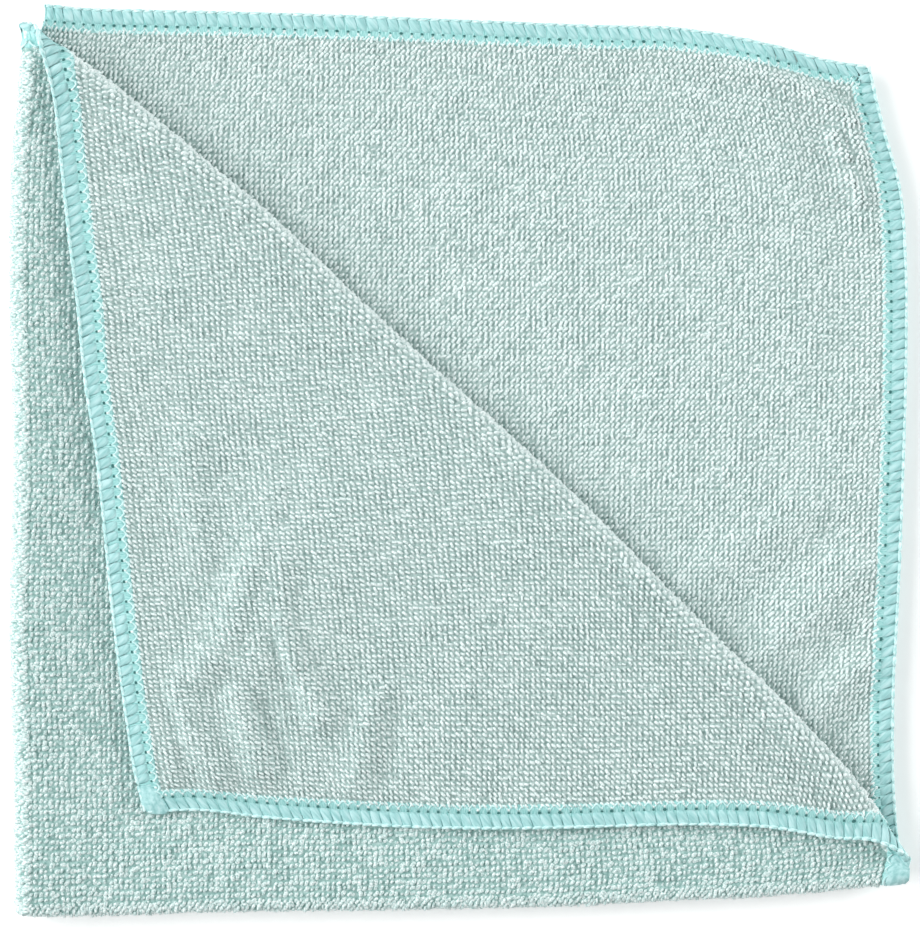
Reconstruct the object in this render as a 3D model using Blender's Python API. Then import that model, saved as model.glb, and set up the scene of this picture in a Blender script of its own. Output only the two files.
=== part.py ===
"""A square microfibre cloth, cut and overlocked flat, folded in quarters, one corner turned back.

The cloth is worked out flat, as it is made: u runs across it, v up it, and w through its
thickness, towards the looped face. fold() then carries each flat point to its place in the
folded cloth. The bottom fold doubles the cloth on v = 0 and the left fold doubles it again on
u = 0, looped face out. That gives four layers, from the top:

    layer 1  u > 0, v > 0, its free corner turned back over the crease and lying on it
    layer 2  u > 0, v < 0, joined to layer 1 along the bottom
    layer 3  u < 0, v < 0, joined to layer 2 along the left, inside
    layer 4  u < 0, v > 0, joined to layer 1 along the left, outside, lying on the surface

Sizes are in millimetres, and turned to metres where a mesh is made.
"""

import math

import bpy
import numpy as np
from mathutils import Vector, geometry

MM = 0.001

# The cloth and its edging, flat.
SIDE = 400.0
HALF = SIDE / 2
CLOTH_THICK = 1.6
EDGING_WIDE = 5.2
EDGING_THICK = 1.6
EDGING_RIM_THICK = 1.0
EDGING_RIM_SHARE = 0.22
SEAM_GAP = 0.3
EDGING_INNER = HALF - EDGING_WIDE
CLOTH_REACH = EDGING_INNER - SEAM_GAP

# Layers lie this far apart, middle to middle, and the folds' radii follow from it.
LAYER_PITCH = 2.0
BOTTOM_R = LAYER_PITCH / 2
LEFT_R = LAYER_PITCH
STACK_HALF = LEFT_R + BOTTOM_R + CLOTH_THICK / 2
LAYER_1_UP = STACK_HALF + LEFT_R + BOTTOM_R

# The turned-back corner rolls over this radius, then settles on layer 1 this far on.
CREASE_R = 2.3
CREASE_SETTLES = 22.0
FLAP_PITCH = 2.3
CREASE_TURN = math.pi * CREASE_R
# The crease's chord, between its ends on the top edge and on the right edge.
CREASE_START = Vector((9.0, 196.1))
CREASE_END = Vector((200.9, 13.4))
CHORD = (CREASE_END - CREASE_START).normalized()
CHORD_SIDE = Vector((-CHORD.y, CHORD.x))
CREASE_LONG = (CREASE_END - CREASE_START).length

# How far each edge of the folded square lies from its straight line, outwards or upwards.
# Inner is layer 2's outline, and outer layer 1's. Columns: place along the edge, offset.
LEFT_FOLD = (
    (0, 0.9), (37, 0.4), (62, -0.4), (100, 0.4), (145, -0.4), (171, 0.2), (189, 1.8), (200, 2.6),
)
BOTTOM_FOLD = (
    (0, 0), (20, 0), (42, 0.7), (87, 1.3), (122, 2.0), (140, 2.9), (167, 4.2), (180, 5.1), (200, 7.3),
)
RIGHT_EDGE_INNER = (
    (0, -0.6), (2, -0.6), (12, -2.2), (43, -2.8), (67, -1.7), (96, -0.6), (133, 0.2), (151, 0.0),
    (169, -1.3), (184, -4.9), (200, -8.2),
)
RIGHT_EDGE_OUTER = (
    (0, -0.6), (2, -0.5), (7, 0.5), (18, -0.9), (29, 0.1), (49, -0.9), (98, -1.8), (132, -2.5),
    (153, -3.7), (172, -5.6), (187, -8.0), (200, -8.6),
)
TOP_EDGE_INNER = (
    (0, 3.7), (12, 2.9), (32, 2.5), (69, 1.6), (88, 0.9), (136, -0.9), (154, -1.4), (179, -5.6),
    (189, -8.3), (200, -10.0),
)
TOP_EDGE_OUTER = (
    (0, -1.0), (12, -2.3), (23, -2.2), (39, -1.2), (74, -0.7), (95, -0.3), (114, -1.7), (133, -2.7),
    (172, -4.3), (191, -5.5), (200, -6.8),
)
# How far the crease bows from its chord, towards the free corner. Columns: along, bow.
CREASE_BOW = (
    (0, 0), (13, 1.9), (36, 3.7), (60, 5.3), (96, 5.5), (157, 6.9), (195, 5.8), (235, 5.0), (250, 3.2),
    (265, 0),
)
# Away from the left fold, layers 3 and 4 follow layer 2's outline and end short of it.
HIDDEN_INSET = 2.2
HIDDEN_STARTS = 50.0
# Layers 2 and 3 turn this far inside the left fold, and the shift fades out this far on.
INNER_FOLD_INSET = 3.6
INNER_FOLD_REACH = 12.0

# Folds stand a little open: the stack is taller beside them by this share of its height.
# Columns: place along the fold, share. Each fades like a bell, this far in and this wide.
LEFT_LOFT = ((0, 0.20), (100, 0.26), (200, 0.30))
LEFT_LOFT_PLACE, LEFT_LOFT_WIDE = 6.0, 9.0
BOTTOM_LOFT = ((0, 0.14), (110, 0.18), (200, 0.24))
BOTTOM_LOFT_PLACE, BOTTOM_LOFT_WIDE = 7.0, 9.0

# Soft ridges across a layer, from one point to another, as high and as wide as given.
# Columns: layer, from x, from y, to x, to y, height, width.
RIDGES = (
    # The arc that draws in the top right corner, and a pucker from the crease's right end.
    ("layer 2", 158, 186, 176.7, 181.4, 1.4, 6.5),
    ("layer 2", 176.7, 181.4, 185.2, 171.4, 1.8, 6.0),
    ("layer 2", 185.2, 171.4, 187.9, 157.9, 1.5, 6.0),
    ("layer 2", 165.5, 61.7, 187.9, 83, 1.8, 6.0),
    # The raised rims of the turned-back corner.
    ("flap", 13.5, 150, 31, 26, 1.6, 7.0),
    ("flap", 31, 26, 105, 22.5, 0.6, 6.0),
    ("flap", 105, 22.5, 195, 15.5, 1.5, 6.0),
    # The creases that spread from its middle to its free corner.
    ("flap", 56.4, 86.4, 45.9, 60.6, 1.9, 6.0),
    ("flap", 45.9, 60.6, 40, 44, 1.3, 6.0),
    ("flap", 59.3, 70, 69.5, 46, 1.5, 6.0),
    ("flap", 81.7, 48.3, 87.2, 30.4, 1.1, 6.0),
)

# Spacing of the rows of points, where a layer shows and where it is hidden.
SHOWN_STEP = 10.0
HIDDEN_STEP = 20.0
FOLD_TURNS = 8
BY_FOLD = (3.5, 7.5, 12.5, 18.0)
BY_RIM = (0.0, 2.0, 5.0, 9.0)
CREASE_TURNS = 8
CREASE_STEP = 8.0
PAST_CREASE = (2.5, 6.5, 11.5, 17.5)

CLOTH_COLOUR = (0.53, 0.66, 0.645)
EDGING_COLOUR = (0.45, 0.715, 0.70)


def curve(table, at):
    """The smooth curve through a table's rows. Its slope at each row is the mean of its sides."""
    place, value = np.array(table, float).T
    sides = np.diff(value) / np.diff(place)
    slope = np.concatenate([sides[:1], (sides[:-1] + sides[1:]) / 2, sides[-1:]])
    at = np.clip(at, place[0], place[-1])
    row = np.clip(np.searchsorted(place, at) - 1, 0, len(place) - 2)
    width = place[row + 1] - place[row]
    t = (at - place[row]) / width
    near, far = value[row], value[row + 1]
    bend = (1 - t) * slope[row] * width - t * slope[row + 1] * width
    rise = (far - near) * (1 - 2 * t)
    return near + (far - near) * t + t * (1 - t) * (bend - rise)


def smooth(t):
    """0 below 0 and 1 above 1, with a soft start and end."""
    t = np.clip(t, 0, 1)
    return t * t * (3 - 2 * t)


def bell(at, middle, wide):
    """A soft bump, 1 at its middle."""
    return np.exp(-(((at - middle) / wide) ** 2))


def loft(x, y):
    """How much taller the stack stands at each place than where it lies flat, as a factor."""
    left = curve(LEFT_LOFT, y) * bell(x, LEFT_LOFT_PLACE, LEFT_LOFT_WIDE)
    bottom = curve(BOTTOM_LOFT, x) * bell(y, BOTTOM_LOFT_PLACE, BOTTOM_LOFT_WIDE)
    return 1 + left + bottom


def ridge(x, y, row):
    """Height of one soft ridge: a bell across the line between its two ends, fading past them."""
    _, x0, y0, x1, y1, height, wide = row
    along = ((x - x0) * (x1 - x0) + (y - y0) * (y1 - y0)) / ((x1 - x0) ** 2 + (y1 - y0) ** 2)
    along = np.clip(along, 0, 1)
    away = np.hypot(x - x0 - along * (x1 - x0), y - y0 - along * (y1 - y0))
    return height * bell(away, 0, wide)


def relief(layer, x, y):
    """The highest of a layer's ridges at each place."""
    heights = [ridge(x, y, row) for row in RIDGES if row[0] == layer]
    return np.max(heights, axis=0)


def settle(x, y, u, v):
    """Moves the points of the even folded square to the uneven outline that the cloth lies in."""
    across, up = np.clip(x / HALF, 0, 1), np.clip(y / HALF, 0, 1)
    hidden = (u < 0) * smooth(x / HIDDEN_STARTS)
    outer = (v > 0) * (1 - hidden)
    right = outer * curve(RIGHT_EDGE_OUTER, y) + (1 - outer) * curve(RIGHT_EDGE_INNER, y)
    top = outer * curve(TOP_EDGE_OUTER, x) + (1 - outer) * curve(TOP_EDGE_INNER, x)
    right, top = right - HIDDEN_INSET * hidden, top - HIDDEN_INSET * hidden
    inset = INNER_FOLD_INSET * (v < 0) * np.exp(-x / INNER_FOLD_REACH) * smooth(y / 15)
    return (
        x + right * across**2 + curve(LEFT_FOLD, y) * (1 - across) ** 2 + inset,
        y + top * up**2 + curve(BOTTOM_FOLD, x) * (1 - up),
    )


def along_crease(x, y):
    """(distance along the crease's chord, distance past the crease's line) of a point in layer 1."""
    east, north = x - CREASE_START.x, y - CREASE_START.y
    along = east * CHORD.x + north * CHORD.y
    line = curve(CREASE_BOW, along) - CREASE_R - CLOTH_THICK / 2
    return along, east * CHORD_SIDE.x + north * CHORD_SIDE.y - line, line


def turn_back(x, y, z, w):
    """Carries what lies past the crease up round it, and back down onto layer 1, looped face down."""
    along, past, line = along_crease(x, y)
    turn = np.clip(past / CREASE_R, 0, math.pi)
    back = np.maximum(past - CREASE_TURN, 0)
    radius = CREASE_R - w
    side = line + radius * np.sin(turn) - back
    new_x = CREASE_START.x + along * CHORD.x + side * CHORD_SIDE.x
    new_y = CREASE_START.y + along * CHORD.y + side * CHORD_SIDE.y
    settled = smooth(back / CREASE_SETTLES)
    rise = CREASE_R - radius * np.cos(turn) - (2 * CREASE_R - FLAP_PITCH) * settled
    new_z = (LAYER_1_UP + rise) * loft(new_x, new_y) + settled * relief("flap", new_x, new_y)
    return [np.where(past > 0, new, old) for new, old in zip((new_x, new_y, new_z), (x, y, z))]


def fold(u, v, w):
    """Where the flat point (u, v, w) lies in the folded cloth."""
    turn = np.clip(v / BOTTOM_R, -math.pi / 2, math.pi / 2)
    y = BOTTOM_R + CLOTH_THICK / 2 - (BOTTOM_R + w) * np.cos(turn)
    y = y + np.maximum(np.abs(v) - BOTTOM_R * math.pi / 2, 0)
    doubled = (BOTTOM_R + w) * np.sin(turn)
    turn = np.clip(u / LEFT_R, -math.pi / 2, math.pi / 2)
    x = STACK_HALF - (LEFT_R + doubled) * np.cos(turn)
    x = x + np.maximum(np.abs(u) - LEFT_R * math.pi / 2, 0)
    x, y = settle(x, y, u, v)
    z = (STACK_HALF + (LEFT_R + doubled) * np.sin(turn)) * loft(x, y)
    z = z + (u > 0) * (v < 0) * relief("layer 2", x, y)
    first = (u > 0) & (v > 0)
    return [np.where(first, new, old) for new, old in zip(turn_back(x, y, z, w), (x, y, z))]


def unturned(u, v):
    """Where a flat point of layer 1 lies before its corner is turned back."""
    x = u + STACK_HALF - LEFT_R * math.pi / 2
    y = v + BOTTOM_R + CLOTH_THICK / 2 - BOTTOM_R * math.pi / 2
    return settle(x, y, u, v)


def flat_of(x, y):
    """The flat point that unturned() brings to (x, y), found by repeated correction."""
    u, v = x.copy(), y.copy()
    for _ in range(30):
        now_x, now_y = unturned(u, v)
        u, v = u + x - now_x, v + y - now_y
    return u, v


def rows_across(radius):
    """Where rows of points lie across the flat cloth: close on the fold, even elsewhere."""
    turn = radius * math.pi / 2
    on_fold = [turn * (2 * i / FOLD_TURNS - 1) for i in range(FOLD_TURNS + 1)]
    by_fold = [side * (turn + step) for side in (-1, 1) for step in BY_FOLD]
    ends = turn + BY_FOLD[-1] + 4
    shown = np.arange(CLOTH_REACH - SHOWN_STEP, ends, -SHOWN_STEP)
    hidden = -np.arange(CLOTH_REACH - HIDDEN_STEP, ends, -HIDDEN_STEP)
    return sorted([*on_fold, *by_fold, *shown, *hidden])


def crease_rows():
    """Flat rows of points along the crease: before it, one for each step of its turn, and past it."""
    along = np.linspace(-22, CREASE_LONG + 22, int(CREASE_LONG / CREASE_STEP) + 6)
    line = curve(CREASE_BOW, along) - CREASE_R - CLOTH_THICK / 2
    turns = [CREASE_TURN * i / CREASE_TURNS for i in range(CREASE_TURNS + 1)]
    rows = []
    for past in [-CREASE_R, *turns, *(CREASE_TURN + step for step in PAST_CREASE)]:
        side = line + past
        x = CREASE_START.x + along * CHORD.x + side * CHORD_SIDE.x
        y = CREASE_START.y + along * CHORD.y + side * CHORD_SIDE.y
        rows.append(np.stack(flat_of(x, y), axis=1))
    return rows


CREASE_ROWS = crease_rows()


def by_crease(u, v):
    """True where a flat point, clear of the folds, is so near the crease that its rows take over."""
    if min(u, v) < LEFT_R * math.pi / 2 + 1:
        return False
    x, y = unturned(np.array(u), np.array(v))
    _, past, _ = along_crease(x, y)
    return -CREASE_R - 3 < past < CREASE_TURN + PAST_CREASE[-1] + 3


def points_on(row, lines, inside):
    """One crease row's points, in order: where it crosses the given lines, and its own points inside."""
    points = [tuple(p) for p in row if max(abs(p)) < inside]
    for axis in (0, 1):
        order = np.argsort(row[:, axis])
        for place in lines:
            other = float(np.interp(place, row[order, axis], row[order, 1 - axis]))
            points.append((place, other) if axis == 0 else (other, place))
    return sorted(points)


def pattern(us, vs, hole=0.0):
    """Triangles over a flat square, on its rows of points and the crease's rows.

    us and vs are the rows, rims included. hole is half the side of a square left out of the
    middle. The crease's rows have points of their own on the rims and on a band's other lines,
    so that pieces that meet there turn alike, and no triangle skips one of those rows.
    """
    rim = us[-1]
    lines = [place for place in us if place >= hole] if hole else [rim - step for step in BY_RIM]
    inside = 0 if hole else lines[-1] - 3
    squares = [[(-r, -r), (r, -r), (r, r), (-r, r)] for r in ([rim, hole] if hole else [rim])]
    points = [p for square in squares for p in square]
    edges = [(i, i // 4 * 4 + (i + 1) % 4) for i in range(len(points))]
    points += [(u, v) for u in us for v in vs if max(abs(u), abs(v)) >= hole and not by_crease(u, v)]
    for row in CREASE_ROWS:
        chain = [p for p in points_on(row, lines, inside) if hole <= max(abs(p[0]), abs(p[1])) <= rim]
        chain = [p for p in chain if p[0] > LEFT_R * math.pi / 2 + 1 and p[1] > BOTTOM_R * math.pi / 2 + 1]
        steps = [i for i in range(len(chain) - 1) if math.dist(*chain[i : i + 2]) < 4 * EDGING_WIDE]
        edges += [(len(points) + i, len(points) + i + 1) for i in steps]
        points += chain
    found = geometry.delaunay_2d_cdt([Vector(p) for p in points], edges, [], 1, 1e-4)
    flat = np.array([(p.x, p.y) for p in found[0]])
    faces = [tuple(face) for face in found[2]]
    faces = [face for face in faces if np.abs(flat[list(face)].mean(axis=0)).max() > hole]
    return flat, faces


def folded_piece(name, flat, faces, half_thick, material):
    """A closed solid between the two faces of a flat pattern, folded, as a named object."""
    top = np.stack(fold(flat[:, 0], flat[:, 1], half_thick), axis=1)
    under = np.stack(fold(flat[:, 0], flat[:, 1], -half_thick), axis=1)
    count = len(flat)
    sides = {(a, b) for face in faces for a, b in zip(face, face[1:] + face[:1])}
    walls = [(b, a, a + count, b + count) for a, b in sorted(sides) if (b, a) not in sides]
    backs = [tuple(i + count for i in reversed(face)) for face in faces]
    mesh = bpy.data.meshes.new(name)
    mesh.from_pydata((np.concatenate([top, under]) * MM).tolist(), [], [*faces, *backs, *walls])
    mesh.materials.append(material)
    mesh.shade_smooth()
    piece = bpy.data.objects.new(name, mesh)
    bpy.context.scene.collection.objects.link(piece)
    return piece


def finish(name, colour, roughness):
    material = bpy.data.materials.new(name)
    material.use_nodes = True
    shader = material.node_tree.nodes["Principled BSDF"]
    shader.inputs["Base Color"].default_value = (*colour, 1)
    shader.inputs["Roughness"].default_value = roughness
    shader.inputs["Metallic"].default_value = 0
    return material


def cloth():
    """The one square cut of looped knit, up to where the edging's threads take over."""
    rows = [[-CLOTH_REACH, *rows_across(radius), CLOTH_REACH] for radius in (LEFT_R, BOTTOM_R)]
    flat, faces = pattern(*rows)
    half_thick = np.full(len(flat), CLOTH_THICK / 2)
    folded_piece("cloth", flat, faces, half_thick, finish("microfibre loop knit", CLOTH_COLOUR, 0.9))


def edging():
    """The overlocking round all four sides: a band of thread, thick in its middle and thin at its rims."""
    rim = EDGING_WIDE * EDGING_RIM_SHARE
    band = [EDGING_INNER, EDGING_INNER + rim, HALF - rim, HALF]
    far = [-place for place in reversed(band)]
    rows = [[*far, *rows_across(radius), *band] for radius in (LEFT_R, BOTTOM_R)]
    flat, faces = pattern(*rows, hole=EDGING_INNER)
    out = np.abs(flat).max(axis=1)
    crown = smooth(np.minimum(out - EDGING_INNER, HALF - out) / rim)
    half_thick = (EDGING_RIM_THICK + (EDGING_THICK - EDGING_RIM_THICK) * crown) / 2
    folded_piece("edging", flat, faces, half_thick, finish("overlock thread", EDGING_COLOUR, 0.6))


def centre_on_origin():
    """Stands the cloth on the origin: the middle of its box, at the height of the surface."""
    pieces = list(bpy.context.scene.collection.objects)
    corners = np.array([vertex.co for piece in pieces for vertex in piece.data.vertices])
    low, high = corners.min(axis=0), corners.max(axis=0)
    for piece in pieces:
        piece.location = (-(low[0] + high[0]) / 2, -(low[1] + high[1]) / 2, -low[2])


for thing in list(bpy.data.objects):
    bpy.data.objects.remove(thing)
cloth()
edging()
centre_on_origin()
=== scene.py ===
import math

import bpy
import numpy as np
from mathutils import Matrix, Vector


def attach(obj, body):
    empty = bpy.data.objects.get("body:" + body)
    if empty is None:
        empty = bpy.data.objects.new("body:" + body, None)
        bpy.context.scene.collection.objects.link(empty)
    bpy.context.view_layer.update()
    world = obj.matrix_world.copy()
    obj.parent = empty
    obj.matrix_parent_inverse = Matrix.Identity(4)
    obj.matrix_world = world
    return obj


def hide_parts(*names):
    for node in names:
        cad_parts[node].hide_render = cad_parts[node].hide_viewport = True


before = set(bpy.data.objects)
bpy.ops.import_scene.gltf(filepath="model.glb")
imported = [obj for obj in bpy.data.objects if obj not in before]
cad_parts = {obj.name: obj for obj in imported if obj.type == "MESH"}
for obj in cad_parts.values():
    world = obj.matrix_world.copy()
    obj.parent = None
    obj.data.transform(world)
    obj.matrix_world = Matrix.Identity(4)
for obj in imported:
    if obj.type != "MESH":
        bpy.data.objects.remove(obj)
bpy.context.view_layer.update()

# ---------------------------------------------------------------------------------------------
# The cloth: a 400 mm square of looped microfibre knit, warp knitted and cut flat. It is folded
# in quarters with its looped face outside, and its top corner is turned back over a soft
# diagonal crease, so that its plain knit face shows.

# It is worked out flat in millimetres: u across, v up, and w through the thickness, towards
# the looped face. fold() carries each flat point to its place.
MM = 0.001
HALF = 200.0
CLOTH_THICK = 1.6

# The stack, with its layers counted from the top: from one layer's middle to the next, the
# radius of each fold at its middle, and how high the stack's middle and layer 1's middle lie.
LAYER_PITCH = 2.0
BOTTOM_R = LAYER_PITCH / 2
LEFT_R = LAYER_PITCH
STACK_HALF = LEFT_R + BOTTOM_R + CLOTH_THICK / 2
LAYER_1_UP = STACK_HALF + LEFT_R + BOTTOM_R

# The crease: half the width of its roll, its two ends, and its direction.
CREASE_R = 2.3
CREASE_TURN = math.pi * CREASE_R
CREASE_START = Vector((9.0, 196.1))
CREASE_END = Vector((200.9, 13.4))
CHORD = (CREASE_END - CREASE_START).normalized()
CHORD_SIDE = Vector((-CHORD.y, CHORD.x))
# How high it stands over layer 1, and the small lip by which it drops behind its roll.
# Columns: place along its chord, height.
CREASE_HIGH = (
    (0, 4.0), (12, 4.2), (40, 3.5), (75, 2.7), (170, 2.6), (195, 3.0), (235, 3.3), (265, 3.0),
)
CREASE_LIP = ((0, 0.9), (150, 0.8), (200, 1.2), (265, 1.3))
CREASE_LIP_WIDE = 4.4
# The power that its rise is taken to, 1 for an even half oval and more where it sags.
CREASE_SAG = 1.2
# Over this width the turned-back corner comes down to FLAP_PITCH above layer 1, and its
# overlocked rim sinks a little further.
CREASE_SETTLES = 22.0
FLAP_PITCH = 2.3
RIM_SINKS, RIM_SINKS_WIDE = 0.55, 6.0
# The middle of the folded cloth's box, which lies on the frame's origin.
MIDDLE = (100.263, 101.862)

# How far each edge lies from its straight line. Columns: place along the edge, offset.
LEFT_FOLD = (
    (0, 0.9), (37, 0.4), (62, -0.4), (100, 0.4), (145, -0.4), (171, 0.2), (189, 1.8), (200, 2.6),
)
BOTTOM_FOLD = (
    (0, 0), (20, 0), (42, 0.7), (87, 1.3), (122, 2.0), (140, 2.9), (167, 4.2), (180, 5.1),
    (200, 7.3),
)
RIGHT_EDGE_INNER = (
    (0, -0.6), (2, -0.6), (12, -2.2), (43, -2.8), (67, -1.7), (96, -0.6), (133, 0.2), (151, 0.0),
    (169, -1.3), (184, -4.9), (200, -8.2),
)
RIGHT_EDGE_OUTER = (
    (0, -0.6), (2, -0.5), (7, 0.5), (18, -0.9), (29, 0.1), (49, -0.9), (98, -1.8), (132, -2.5),
    (153, -3.7), (172, -5.6), (187, -8.0), (200, -8.6),
)
TOP_EDGE_INNER = (
    (0, 3.7), (12, 2.9), (32, 2.5), (69, 1.6), (88, 0.9), (136, -0.9), (154, -1.4), (179, -5.6),
    (189, -8.3), (200, -10.0),
)
TOP_EDGE_OUTER = (
    (0, -1.0), (12, -2.3), (23, -2.2), (39, -1.2), (74, -0.7), (95, -0.3), (114, -1.7),
    (133, -2.7), (172, -4.3), (191, -5.5), (200, -6.8),
)
CREASE_BOW = (
    (0, 0), (13, 1.9), (36, 3.7), (60, 5.3), (96, 5.5), (157, 6.9), (195, 5.8), (235, 5.0),
    (250, 3.2), (265, 0),
)
# The two lower layers lie this far inside the inner edges, more than HIDDEN_STARTS away from the
# left fold and less nearer it.
HIDDEN_INSET = 2.2
HIDDEN_STARTS = 50.0
# At the left the inner fold lies this far inside the outer one. That starts over
# INNER_FOLD_STARTS from the bottom, and fades over INNER_FOLD_REACH to the right.
INNER_FOLD_INSET = 3.6
INNER_FOLD_REACH = 12.0
INNER_FOLD_STARTS = 15.0

# How much taller the stack stands by each fold. Columns: place along the fold, share added. The
# second line gives the middle and the width of the bell that it fades by.
CREASE_LOFT = ((0, 0.24), (40, 0.30), (90, 0.20), (170, 0.18), (265, 0.20))
CREASE_LOFT_PLACE, CREASE_LOFT_WIDE = -1.5, 9.0
LEFT_LOFT = ((0, 0.20), (100, 0.26), (200, 0.30))
LEFT_LOFT_PLACE, LEFT_LOFT_WIDE = 6.0, 9.0
BOTTOM_LOFT = ((0, 0.14), (80, 0.14), (125, 0.02), (200, 0.04))
BOTTOM_LOFT_PLACE, BOTTOM_LOFT_WIDE = 7.0, 9.0

# Soft ridges, and troughs with a height below 0.
# Columns: layer, from x, from y, to x, to y, height, width.
RIDGES = (
    # the raised rims of the turned-back corner
    ("flap", 13.5, 150, 31, 26, 0.9, 7.0),
    ("flap", 31, 25, 105, 22.5, -0.6, 6.0),
    ("flap", 105, 22.5, 195, 15.5, 0.4, 6.0),
    # the creases that spread from its middle to its free corner
    ("flap", 59, 94, 56.6, 82, 1.4, 5.0),
    ("flap", 56.6, 82, 52.3, 71, 3.2, 5.0),
    ("flap", 52.3, 71, 50, 63, 3.4, 5.4),
    ("flap", 50, 63, 42.4, 54.5, 2.5, 4.6),
    ("flap", 60, 80, 55, 60, 2.9, 9.0),
    ("flap", 68, 82, 60, 62, 1.7, 14.0),
    ("flap", 61, 80, 60.8, 66, 3.3, 3.6),
    ("flap", 60.8, 66, 64.4, 56.2, 3.9, 3.6),
    ("flap", 64.4, 56.2, 70, 45.5, 3.3, 3.6),
    ("flap", 38, 51.5, 41.6, 40.5, 2.2, 3.2),
    ("flap", 41.6, 40.5, 46.4, 31.5, 2.1, 3.2),
    ("flap", 35.3, 38, 36.4, 30.5, 1.3, 2.4),
    ("flap", 51.4, 49.5, 54.2, 40.5, 2.6, 3.4),
    ("flap", 54.2, 40.5, 56.5, 33, 2.4, 3.4),
    ("flap", 57, 47, 59.7, 39.5, -1.5, 2.6),
    ("flap", 59.7, 39.5, 61.2, 32.5, -1.3, 2.6),
    ("flap", 81.5, 47, 78, 30.5, 1.9, 4.0),
    ("flap", 86, 47, 83, 30.5, -1.3, 3.0),
    ("flap", 40.3, 105, 40.2, 93, 1.3, 3.8),
    ("flap", 40.2, 93, 43.4, 80.5, 1.6, 3.8),
    # the arc that draws in the cloth's top right corner
    ("layer 2", 154, 191, 171, 188, 1.4, 3.0),
    ("layer 2", 171, 188, 180, 183.6, 2.2, 2.3),
    ("layer 2", 180, 183.6, 188.4, 177.4, 3.0, 2.3),
    ("layer 2", 188.4, 177.4, 190.8, 169, 2.0, 2.0),
    ("layer 2", 172, 191.2, 182, 187.5, -1.5, 2.0),
    ("layer 2", 182, 187.5, 192, 180.5, -1.5, 2.0),
    ("layer 2", 184.6, 174.4, 187.4, 169.8, 2.4, 1.7),
    ("layer 2", 187.8, 165.3, 190.5, 160.5, 2.4, 1.7),
    ("layer 2", 179.5, 171, 183.4, 160.2, -1.2, 5.2),
    ("layer 2", 183.4, 160.2, 188, 142, -1.3, 5.5),
    ("layer 2", 188, 142, 186.8, 126.5, -1.2, 5.5),
    ("layer 2", 186.8, 126.5, 180, 115.5, -0.8, 5.5),
    # the puckers that spread from the crease's right end
    ("layer 2", 148, 73, 163.3, 81.9, 1.6, 4.6),
    ("layer 2", 163.3, 81.9, 176.7, 90.8, 1.1, 5.0),
    ("layer 2", 160, 65, 185.7, 86.4, -1.1, 4.2),
    ("layer 2", 164.5, 56, 176.7, 65.1, 2.1, 4.2),
    ("layer 2", 176.7, 65.1, 190.2, 77.4, 1.7, 4.2),
    ("layer 2", 173, 49, 187.9, 61.7, -1.4, 3.4),
    ("layer 2", 178, 45, 191.3, 56.2, 1.8, 3.3),
    ("layer 2", 182, 38, 192.4, 46.1, -1.3, 2.8),
)


def curve(table, at):
    """The smooth curve through a table's rows.

    It is cubic between rows, and its slope at each row is the mean of the slopes on its sides.
    """
    place, value = np.array(table, float).T
    sides = np.diff(value) / np.diff(place)
    slope = np.concatenate([sides[:1], (sides[:-1] + sides[1:]) / 2, sides[-1:]])
    at = np.clip(at, place[0], place[-1])
    row = np.clip(np.searchsorted(place, at) - 1, 0, len(place) - 2)
    width = place[row + 1] - place[row]
    t = (at - place[row]) / width
    near, far = value[row], value[row + 1]
    bend = (1 - t) * slope[row] * width - t * slope[row + 1] * width
    rise = (far - near) * (1 - 2 * t)
    return near + (far - near) * t + t * (1 - t) * (bend - rise)


def smooth(t):
    """0 below 0 and 1 above 1, with a soft start and end: 3 t squared less 2 t cubed."""
    t = np.clip(t, 0, 1)
    return t * t * (3 - 2 * t)


def bell(at, middle, wide):
    """A soft bump, 1 at its middle: e to the minus square of the distance in widths."""
    return np.exp(-(((at - middle) / wide) ** 2))


def along_crease(x, y):
    """Of places seen from above: distance along the crease's chord, past its line, and the line's.

    The line is where the roll starts: the crease's bow out from the chord, less the roll's half
    width and half the sheet's thickness.
    """
    east, north = x - CREASE_START.x, y - CREASE_START.y
    along = east * CHORD.x + north * CHORD.y
    line = curve(CREASE_BOW, along) - CREASE_R - CLOTH_THICK / 2
    return along, east * CHORD_SIDE.x + north * CHORD_SIDE.y - line, line


def outside_crease(x, y):
    """Of places seen from above: distance along the crease's chord, and out past its bow."""
    along, past, line = along_crease(x, y)
    return along, past + line - curve(CREASE_BOW, along)


def loft(x, y):
    """How much taller the stack stands at each place than where it lies flat.

    It is 1, plus a bell by the left fold, one by the bottom fold and one along the crease.
    """
    left = curve(LEFT_LOFT, y) * bell(x, LEFT_LOFT_PLACE, LEFT_LOFT_WIDE)
    bottom = curve(BOTTOM_LOFT, x) * bell(y, BOTTOM_LOFT_PLACE, BOTTOM_LOFT_WIDE)
    along, outside = outside_crease(x, y)
    crease = curve(CREASE_LOFT, along) * bell(outside, CREASE_LOFT_PLACE, CREASE_LOFT_WIDE)
    return 1 + left + bottom + crease


def ridge(x, y, row):
    """Height of one soft ridge: a bell across the line between its two ends, fading past them."""
    _, x0, y0, x1, y1, height, wide = row
    along = ((x - x0) * (x1 - x0) + (y - y0) * (y1 - y0)) / ((x1 - x0) ** 2 + (y1 - y0) ** 2)
    along = np.clip(along, 0, 1)
    away = np.hypot(x - x0 - along * (x1 - x0), y - y0 - along * (y1 - y0))
    return height * bell(away, 0, wide)


def relief(layer, x, y):
    """The highest of a layer's ridges at each place, less the deepest of its troughs."""
    rows = [row for row in RIDGES if row[0] == layer]
    heights = [ridge(x, y, row) for row in rows]
    return np.maximum(np.max(heights, axis=0), 0) + np.minimum(np.min(heights, axis=0), 0)


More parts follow.
